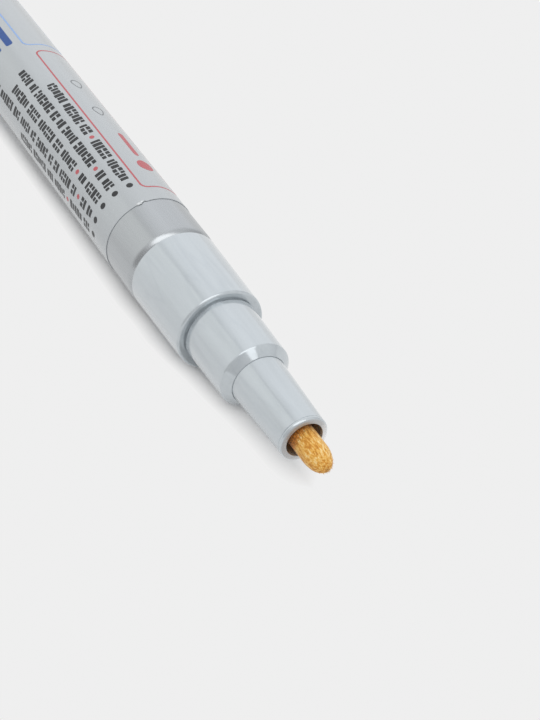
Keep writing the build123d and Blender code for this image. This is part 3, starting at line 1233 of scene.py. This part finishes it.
    def paint_specks(self) -> Shell:
        """Small specks of dried paint on the wall of the mouth.

        Returns:
            Low domes that point at the axis.
        """
        draw = random.Random(self.speck_seed)
        shell = Shell()
        for _ in range(self.speck_count):
            size = draw.uniform(*self.speck_sizes)
            x = self.mouth_x - draw.uniform(*self.speck_depths)
            angle = draw.uniform(*self.speck_angles)
            Dome(x, self.mouth_r, angle, size, size, self.speck_height).add_to(shell)
        return shell


@dataclass
class Nib:
    """Bullet nib of paint-soaked fibres, with loose fibre ends."""

    tip_x: float = 86.89
    rear_x: float = 56.59
    radius: float = 2.0
    bullet: float = 3.5
    bullet_rings: int = 64
    rear_step: float = 3.0
    rear_rings: int = 6
    fine_from_x: float = 78.2
    fine_step: float = 0.1
    ring_segments: int = 220
    slant: float = 0.07
    ridge: float = 0.022
    wide_fibre: float = 0.3
    wide_stretch: float = 0.4
    wide_share: float = 0.8
    thin_fibre: float = 0.16
    thin_stretch: float = 0.9
    thin_offset: float = 7.0
    thin_share: float = 0.9
    crease_share: float = 0.7
    crease_limit: float = 0.25
    end_stretch: Pair = (6.0, 6.5)
    end_height: float = 0.05
    end_calm: float = 0.5
    end_slope: float = 0.9
    tip_inset: float = 0.05
    side_inset: float = 0.02
    fuzz_seed: int = 23
    loose_ends: int = 170
    loose_reach: Pair = (0.02, 0.96)
    loose_crowding: float = 0.7
    loose_root: float = 0.08
    loose_lean: float = 0.4
    loose_growth: Pair = (0.55, 0.5)
    loose_lengths: Pair = (0.12, 0.3)
    loose_bend: float = 0.08
    loose_sides: int = 3
    loose_thickness: tuple[Pair, ...] = ((0.0, 0.026), (0.5, 0.02), (1.0, 0.008))

    @property
    def shoulder_x(self) -> float:
        """Station where the bullet starts."""
        return self.tip_x - self.bullet

    def build(self) -> None:
        """Build the nib with its loose fibre ends."""
        shell = Lathe(segments=self.ring_segments).turn(self.profile(), closed=False, shaper=self.roughen)
        settle(shell.piece("felt_nib", FELT), Body.NIB, Slot.FIBRE, "nib")
        settle(self.fuzz().piece("nib_loose_fibres", FELT), Body.NIB, Slot.FIBRE)

    def on_bullet(self, turn: float) -> Pair:
        """Station and radius of the bullet, from its shoulder at no turn to its tip at a quarter turn."""
        return self.shoulder_x + self.bullet * math.sin(turn), self.radius * math.cos(turn)

    def profile(self) -> list[tuple[float, float, int]]:
        """Outline from the rear end to the tip.

        Returns:
            Station, radius and finish number of each point.
        """
        points = [(self.rear_x, 0.0, 0)]
        points += [(self.rear_x + self.rear_step * step, self.radius, 0)
                   for step in range(self.rear_rings + 1)]
        x = self.fine_from_x
        while x < self.shoulder_x:
            points.append((x, self.radius, 0))
            x += self.fine_step
        points += [(*self.on_bullet(math.pi / 2 * step / self.bullet_rings), 0)
                   for step in range(self.bullet_rings)]
        return [*points, (self.tip_x, 0.0, 0)]

    def fibre(self, x: float, angle: float) -> float:
        """Height of the fibres at a place of the nib.

        Args:
            x: Station of the place.
            angle: Ring angle in radians.

        Returns:
            Height in millimetres, about zero.
        """
        twisted = angle + self.slant * (x - self.tip_x)
        around = [self.radius * rule(twisted) for rule in (math.cos, math.sin)]
        wide = noise.noise(Vector((self.wide_stretch * x, *(place / self.wide_fibre for place in around))))
        thin = noise.noise(Vector((self.thin_stretch * x + self.thin_offset,
                                   *(place / self.thin_fibre for place in around))))
        crease = max(0.0, self.crease_limit - abs(thin))
        return self.ridge * (self.wide_share * wide + self.thin_share * thin - self.crease_share * crease)

    def roughen(self, x: float, r: float, angle: float) -> Pair:
        """Raise the fibres of a point on the nib.

        Args:
            x: Station of the point.
            r: Radius of the point.
            angle: Ring angle in radians.

        Returns:
            The moved station and radius.
        """
        if x < self.fine_from_x:
            return x, r
        rounding = max(0.0, (x - self.shoulder_x) / self.bullet)
        along, across = self.end_stretch
        end = noise.noise(Vector((along * x, across * r * math.cos(angle), across * r * math.sin(angle))))
        lift = self.fibre(x, angle) * (1.0 - self.end_calm * rounding) + self.end_height * rounding * end
        slope = rounding * self.end_slope
        return (x + (lift - self.tip_inset) * slope,
                max(0.0, r + lift * math.sqrt(1.0 - slope * slope) - self.side_inset))

    def fuzz(self) -> Shell:
        """Loose fibre ends that stand off the nib.

        Returns:
            Thin tapered hairs.
        """
        draw = random.Random(self.fuzz_seed)
        shell = Shell()
        corners = [math.tau * corner / self.loose_sides for corner in range(self.loose_sides)]
        for _ in range(self.loose_ends):
            turn = math.pi / 2 * draw.uniform(*self.loose_reach) ** self.loose_crowding
            angle = math.tau * draw.random()
            x, r = self.on_bullet(turn)
            root = Vector(on_ring(x, max(0.0, r - self.loose_root), angle))
            outward = Vector((math.sin(turn), math.cos(turn) * math.cos(angle),
                              math.cos(turn) * math.sin(angle)))
            lean = Vector((1.0, *(draw.uniform(-self.loose_lean, self.loose_lean) for _ in range(2))))
            growth = (outward * self.loose_growth[0] + lean * self.loose_growth[1]).normalized()
            length = draw.uniform(*self.loose_lengths)
            side = growth.orthogonal().normalized()
            across = growth.cross(side)
            bend = side * draw.uniform(-self.loose_bend, self.loose_bend)
            rings = []
            for step, thick in self.loose_thickness:
                middle = root + growth * length * step + bend * step * step
                rings.append([tuple(middle + (side * math.cos(corner) + across * math.sin(corner)) * thick)
                              for corner in corners])
            shell.tube(rings)
        return shell


@dataclass
class Valve:
    """Pump valve inside the front: its moulded pieces, seals, ball and return spring."""

    spring_front_x: float = 52.64
    spring_turns: int = 7
    spring_pitch: float = 2.042857
    spring_r: float = 2.6
    spring_length: float = 15.0
    wire_r: float = 0.3
    wire_sides: int = 10
    wire_steps: int = 36
    wall_x: float = 37.99
    stroke: float = 2.2

    def build(self) -> None:
        """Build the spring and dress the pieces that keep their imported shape."""
        spring = self.coil().piece("return_spring", SPRING_WIRE)
        settle(spring, Body.MARKER, Slot.SPRING, "valve_spring")
        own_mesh(spring)
        finishes = {
            "valve_housing": NATURAL, "valve_retainer": NATURAL, "valve_seat": RUBBER, "barrel_seal": RUBBER,
            "valve_stem": STEM_PLASTIC, "valve_head": STEM_PLASTIC, "mixing_ball": BALL_STEEL,
        }
        for node, finish in finishes.items():
            dress_node(node, finish)

    def coil(self) -> Shell:
        """Wire of the return spring.

        Returns:
            One closed tube wound from front to back.
        """
        shell = Shell()
        swings = [math.tau * side / self.wire_sides for side in range(self.wire_sides)]
        turns = [step / self.wire_steps for step in range(self.spring_turns * self.wire_steps + 1)]
        shell.tube([[on_ring(self.spring_front_x - self.spring_pitch * turn + self.wire_r * math.sin(swing),
                             self.spring_r + self.wire_r * math.cos(swing), math.tau * turn)
                     for swing in swings] for turn in turns])
        return shell


@dataclass
class Tail:
    """Tail plug with its post, and the cap pushed onto it."""

    plug_front_x: float = -40.66
    plug_round: float = 0.3
    spigot_back_x: float = -48.68
    spigot_r: float = FrontEnd.spigot_r
    base_r: float = FrontEnd.base_r
    base_round: float = 0.2
    rim_x: float = -50.86
    rim_r: float = FrontEnd.rim_r
    rim_round: float = 0.5
    groove_r: float = 6.26
    groove_depth: float = 1.0
    groove_round: float = 0.08
    post_r: float = 5.84
    post_round: float = 0.12
    post_tip_x: float = -61.46
    post_tip_r: float = FrontEnd.seat_r
    post_tip_round: float = FrontEnd.seat_round
    post_wall: float = 1.5
    bore_r: float = 4.48
    bore_round: float = 0.2
    dimple_depths: Pair = (0.25, 0.2)
    dimple_radii: Pair = (1.0, 1.5)
    dimple_rounds: Pair = (0.1, 0.15)
    cap_mouth_x: float = -50.91
    cap_mouth_round: float = 0.25
    cap_lip_x: float = -50.11
    cap_lip_r: float = 6.16
    cap_lip_round: float = 0.06
    cap_bore_r: float = 5.89
    cap_bore_x: float = -61.51
    cap_back_x: float = -86.89
    cap_back_r: float = 6.7
    cap_back_round: float = 1.2
    cap_floor_x: float = -85.29
    cap_floor_r: float = 5.63

    def build(self) -> None:
        """Build the plug and the cap, and dress the cap's liner."""
        floor_x, groove_x = self.post_tip_x + self.post_wall, self.rim_x + self.groove_depth
        plug = Lathe().piece("tail_plug_moulding", [
            Corner(floor_x, 0.0),
            Corner(floor_x, self.bore_r, self.bore_round),
            Corner(self.plug_front_x, self.bore_r),
            Corner(self.plug_front_x, self.spigot_r, self.plug_round),
            Corner(self.spigot_back_x, self.spigot_r),
            Corner(self.spigot_back_x, self.base_r, self.base_round),
            Corner(self.rim_x, self.rim_r, self.rim_round),
            Corner(self.rim_x, self.groove_r, self.base_round),
            Corner(groove_x, self.groove_r, self.groove_round),
            Corner(groove_x, self.post_r, self.post_round),
            Corner(self.post_tip_x, self.post_tip_r, self.post_tip_round),
            Corner(self.post_tip_x, 0.0),
        ], SILVER, closed=False)
        settle(plug, Body.MARKER, Slot.SILVER, "tail_plug")
        middle_depth, edge_depth = self.dimple_depths
        inner_r, outer_r = self.dimple_radii
        inner_round, outer_round = self.dimple_rounds
        cap = Lathe().piece("cap_shell", [
            Corner(self.cap_back_x + middle_depth, 0.0),
            Corner(self.cap_back_x + edge_depth, inner_r, inner_round),
            Corner(self.cap_back_x, outer_r, outer_round),
            Corner(self.cap_back_x, self.cap_back_r, self.cap_back_round),
            Corner(self.cap_mouth_x, self.rim_r, self.cap_mouth_round),
            Corner(self.cap_mouth_x, self.cap_lip_r),
            Corner(self.cap_lip_x, self.cap_lip_r, self.cap_lip_round),
            Corner(self.cap_lip_x, self.cap_bore_r, self.cap_lip_round),
            Corner(self.cap_mouth_x, self.cap_bore_r, 0.0),
            Corner(self.cap_bore_x, self.cap_floor_r),
            Corner(self.cap_floor_x, self.cap_floor_r),
            Corner(self.cap_floor_x, 0.0),
        ], CAP_PLASTIC, closed=False)
        settle(cap, Body.CAP, Slot.CAP, "cap")
        dress_node("cap_liner", LINER_PLASTIC)


@dataclass
class Studio:
    """Pale table, soft light and the camera.

    The shadow's edges are stations with the distances from the marker's middle line where the shadow
    starts to fade and where it has gone. The room's lights are given by direction, from -1 to 1 along Y.
    """

    camera_spot: Point = (205.58, -73.37, 161.11)
    camera_swing: float = 61.4596
    camera_tilt: float = 43.7122
    camera_near: float = 0.01
    focal_pixels: float = 1544.03
    long_side_pixels: float = 720.0
    sensor: float = 36.0
    floor_half: float = 12000.0
    floor_tone: float = 0.862
    paper_colour: Colour = (0.822, 0.819, 0.816)
    paper_tooth: Grain = Grain(0.5)
    paper_tones: Stops = ((0.3, 0.998), (0.7, 1.002))
    paper_roughness: float = 0.9
    shadow_edges: tuple[Point, ...] = (
        (-132.0, -4.5, 0.1), (-126.0, 6.0, 8.1), (0.0, 5.7, 7.9), (10.0, 5.3, 7.9), (20.0, 5.2, 8.0),
        (35.0, 5.15, 8.0), (40.0, 4.85, 7.6), (45.0, 4.8, 7.6), (50.0, 4.65, 7.0), (55.0, 3.05, 6.1),
        (60.0, 2.5, 5.5), (63.0, 2.2, 5.05), (66.0, 0.4, 4.6), (70.0, 0.25, 4.1), (73.0, -0.3, 3.85),
        (76.0, -0.9, 3.7), (79.0, -2.6, 3.2), (81.0, -3.8, 2.3), (83.0, -4.5, 0.1))
    edge_reach: float = 10.0
    core_share: float = 0.05
    mirror_edge: Pair = (3.0, 11.0)
    mouth_stations: Pair = (74.0, 80.0)
    key_distance: float = 2000.0
    key_direction: Point = (0.3, -0.03, 0.953)
    key_lie: Point = (0.91, 0.41, 0.0)
    key_length: float = 3300.0
    key_width: float = 1700.0
    key_power: float = 14.3
    room_strength: float = 1.02
    back_light: Stops = (
        (-1.0, 0.8), (-0.77, 0.83), (-0.73, (0.91, 0.915, 0.91)), (-0.65, (0.95, 0.955, 0.95)),
        (-0.27, (0.96, 0.97, 0.96)), (-0.18, (0.73, 0.74, 0.75)), (-0.04, (0.95, 0.96, 0.975)),
        (0.13, (1.04, 1.05, 1.07)), (0.35, (1.05, 1.06, 1.085)), (0.77, (0.96, 0.97, 0.99)),
        (1.0, (0.96, 0.97, 0.99)))
    top_light: Stops = (
        (-1.0, 0.5), (-0.8, 0.52), (-0.6, (0.76, 0.76, 0.77)), (-0.3, (0.85, 0.86, 0.87)),
        (0.2, (0.88, 0.89, 0.9)), (0.55, (0.82, 0.83, 0.84)), (0.75, (0.8, 0.81, 0.82)),
        (0.95, (0.62, 0.62, 0.63)), (1.0, (0.62, 0.62, 0.63)))
    front_light: Stops = (
        (-1.0, 0.5), (-0.45, (0.52, 0.52, 0.53)), (-0.16, (0.63, 0.63, 0.64)), (0.05, (0.73, 0.74, 0.75)),
        (0.3, (0.76, 0.77, 0.78)), (1.0, (0.86, 0.87, 0.88)))
    top_range: Pair = (-0.58, -0.3)
    front_range: Pair = (0.35, 0.6)

    def build(self) -> None:
        """Set up table, light and camera."""
        half = self.floor_half * MM
        mesh = bpy.data.meshes.new("table")
        corners = [(-half, -half, 0), (half, -half, 0), (half, half, 0), (-half, half, 0)]
        mesh.from_pydata(corners, [], [(0, 1, 2, 3)])
        mesh.materials.append(self.paper())
        table = stand("table", mesh)
        self.softbox()
        self.room()
        self.camera()
        bpy.context.scene.view_settings.view_transform = "Standard"

    def paper(self) -> bpy.types.Material:
        """Pale paper that keeps the marker's shadow and is of one even tone beyond it.

        Returns:
            The material.
        """
        material = bpy.data.materials.new("table_paper")
        bench = Bench(material)
        tooth = bench.ramp(bench.noise(self.paper_tooth), shades(self.paper_colour, self.paper_tones))
        bench.set(Base_Color=tooth, Roughness=self.paper_roughness, Specular_IOR_Level=0.0)
        glow = bench.add("Emission", "Emission", {"Color": opaque(self.floor_tone)})
        ray = bench.add("LightPath", "Is Camera Ray").node.outputs
        away = bench.reckon("ABSOLUTE", bench.along("Y"))
        open_mouth = bench.span(bench.along(), *self.mouth_stations, 0.0, self.mirror_edge[1])
        mirrored = bench.span(bench.sum(away, open_mouth), *self.mirror_edge)
        mirror = bench.reckon("MAXIMUM", ray["Is Glossy Ray"], ray["Is Transmission Ray"])
        seen = bench.sum(bench.reckon("MULTIPLY", ray["Is Camera Ray"], self.even_tone(bench, away)),
                         bench.reckon("MULTIPLY", mirror, mirrored))
        plain = bench.nodes["Principled BSDF"].outputs["BSDF"]
        mixed = bench.add("MixShader", "Shader", dict(enumerate((seen, plain, glow))))
        bench.put(mixed, bench.nodes["Material Output"].inputs["Surface"])
        return material

    def even_tone(self, bench: Bench, away: Socket) -> Socket:
        """Share of even paper tone on the table, which leaves the shadow close to the marker.

        Args:
            bench: Bench of the table's material.
            away: Socket of distances from the marker's middle line.

        Returns:
            Socket of the share.
        """
        first, last = self.shadow_edges[0][0], self.shadow_edges[-1][0]
        station = bench.span(bench.along(), first, last)
        reach = self.edge_reach
        limits = []
        for side in (1, 2):
            stops = [((edge[0] - first) / (last - first), (edge[side] + reach) / (2 * reach))
                     for edge in self.shadow_edges]
            limits.append(bench.span(bench.ramp(station, stops), 0.0, 1.0, -reach, reach))
        return bench.span(away, *limits, self.core_share, 1.0)

    def softbox(self) -> None:
        """Hang the long oval softbox over the marker, with its front end towards the nib."""
        lamp = bpy.data.lights.new("key_softbox", "AREA")
        lamp.shape = "ELLIPSE"
        lamp.size = self.key_length * MM
        lamp.size_y = self.key_width * MM
        lamp.energy = self.key_power
        away = Vector(self.key_direction).normalized()
        lie = Vector(self.key_lie)
        lie = (lie - lie.dot(away) * away).normalized()
        turned = Matrix((lie, away.cross(lie), away)).transposed().to_4x4()
        stand("key_softbox", lamp).matrix_world = Matrix.Translation(away * self.key_distance * MM) @ turned

    def room(self) -> None:
        """Light the room: bright behind the marker with a darker seam, dim overhead and in front."""
        world = bpy.data.worlds.new("studio_room")
        bench = Bench(world)
        ahead, sideways = (bench.part(bench.spot["Generated"], axis) for axis in "XY")
        across = bench.span(sideways, -1.0, 1.0)
        back, top, front = (bench.ramp(across, [((place + 1.0) / 2.0, tone) for place, tone in light])
                            for light in (self.back_light, self.top_light, self.front_light))
        tone = bench.mix(bench.span(ahead, *self.top_range), back, top)
        tone = bench.mix(bench.span(ahead, *self.front_range), tone, front)
        background = bench.nodes["Background"].inputs
        bench.put(tone, background["Color"])
        bench.put(self.room_strength, background["Strength"])
        bpy.context.scene.world = world

    def camera(self) -> None:
        """Set the camera at the photograph's place and angle."""
        swing, tilt = math.radians(self.camera_swing), math.radians(self.camera_tilt)
        right = Vector((math.cos(swing), math.sin(swing), 0.0))
        back = Vector((math.sin(swing) * math.cos(tilt), -math.cos(swing) * math.cos(tilt), math.sin(tilt)))
        lens = bpy.data.cameras.new("camera")
        lens.sensor_width = self.sensor
        lens.lens = self.focal_pixels * self.sensor / self.long_side_pixels
        lens.clip_start = self.camera_near
        eye = stand("camera", lens)
        turned = Matrix((right, back.cross(right), back)).transposed().to_4x4()
        eye.matrix_world = Matrix.Translation(Vector(self.camera_spot) * MM) @ turned
        bpy.context.scene.camera = eye


def main() -> None:
    """Build the marker's looks and set up the studio."""
    logging.basicConfig(level=logging.INFO, format="%(name)s: %(message)s")
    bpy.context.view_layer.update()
    for assembly in (Barrel(), FrontEnd(), Nib(), Valve(), Tail(), Studio()):
        assembly.build()
        LOG.info("built %s", type(assembly).__name__)


if __name__ == "__main__":
    main()
